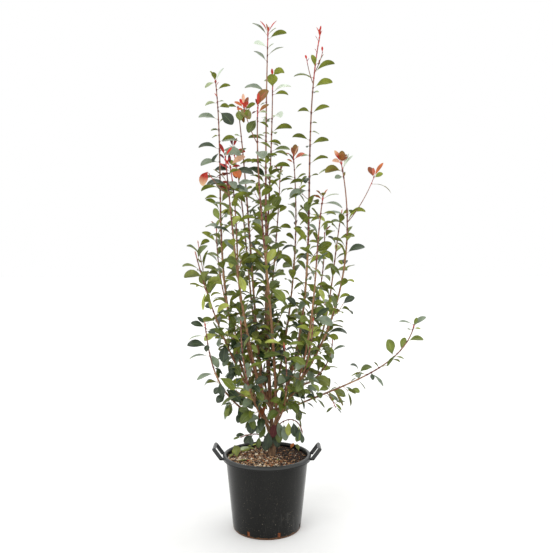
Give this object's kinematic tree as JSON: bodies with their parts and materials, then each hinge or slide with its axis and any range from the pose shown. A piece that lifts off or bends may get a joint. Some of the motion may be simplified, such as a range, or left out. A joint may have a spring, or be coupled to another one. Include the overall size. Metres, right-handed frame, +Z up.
{
  "type": "potted photinia red robin shrub",
  "caption": "Tall upright evergreen shrub of long leafy whips with red young shoot tips, rising from a short trunk in a round black nursery pot with lift handles.",
  "frame": {"origin": "centre of the pot's flat underside", "axes": "+Z up; +X from the trunk towards the handle and the long low branch on the right as seen from the front; -Y towards the front"},
  "size_m": [1.1978, 0.6867, 2.6365],
  "materials": {
    "pot_plastic": "black moulded plastic with a dull sheen, scuffed and dusty near the foot",
    "potting_bark": "loose chopped bark and dark peat, dry on top",
    "bark": "smooth reddish brown bark with small lenticels and darker leaf scars",
    "leaves": "glossy leathery leaves, dark green above and yellow-green beneath, red and bronze at the growing tips"
  },
  "bodies": {
    "root": {"pot": "pot_plastic", "handle_right": "pot_plastic", "handle_left": "pot_plastic", "soil": "potting_bark", "trunk": "bark", "limb_left": "bark", "limb_right": "bark", "limb_back": "bark", "limb_cross": "bark", "limb_fan": "bark", "stem_left_tall": "bark", "stem_left_outer": "bark", "stem_left_low": "bark", "stem_left_mid": "bark", "stem_left_front": "bark", "stem_left_inner": "bark", "stem_centre_front": "bark", "stem_centre_tall": "bark", "stem_centre_back": "bark", "stem_right_inner": "bark", "stem_right_tall": "bark", "stem_right_front": "bark", "stem_right_mid": "bark", "stem_right_outer": "bark", "stem_right_low": "bark", "stem_back_mid": "bark", "stem_back_left": "bark", "stem_back_tall": "bark", "stem_back_right": "bark", "foliage_left_tall": "leaves", "foliage_left_outer": "leaves", "foliage_left_low": "leaves", "foliage_left_mid": "leaves", "foliage_left_front": "leaves", "foliage_left_inner": "leaves", "foliage_centre_front": "leaves", "foliage_centre_tall": "leaves", "foliage_centre_back": "leaves", "foliage_right_inner": "leaves", "foliage_right_tall": "leaves", "foliage_right_front": "leaves", "foliage_right_mid": "leaves", "foliage_right_outer": "leaves", "foliage_right_low": "leaves", "foliage_back_mid": "leaves", "foliage_back_left": "leaves", "foliage_back_tall": "leaves", "foliage_back_right": "leaves", "foliage_front_low": "leaves", "foliage_front_left": "leaves", "foliage_front_right": "leaves", "foliage_side_right": "leaves", "foliage_back_low_left": "leaves", "foliage_back_low_right": "leaves", "foliage_foot_left": "leaves", "foliage_foot_right": "leaves"}
  },
  "joints": []
}
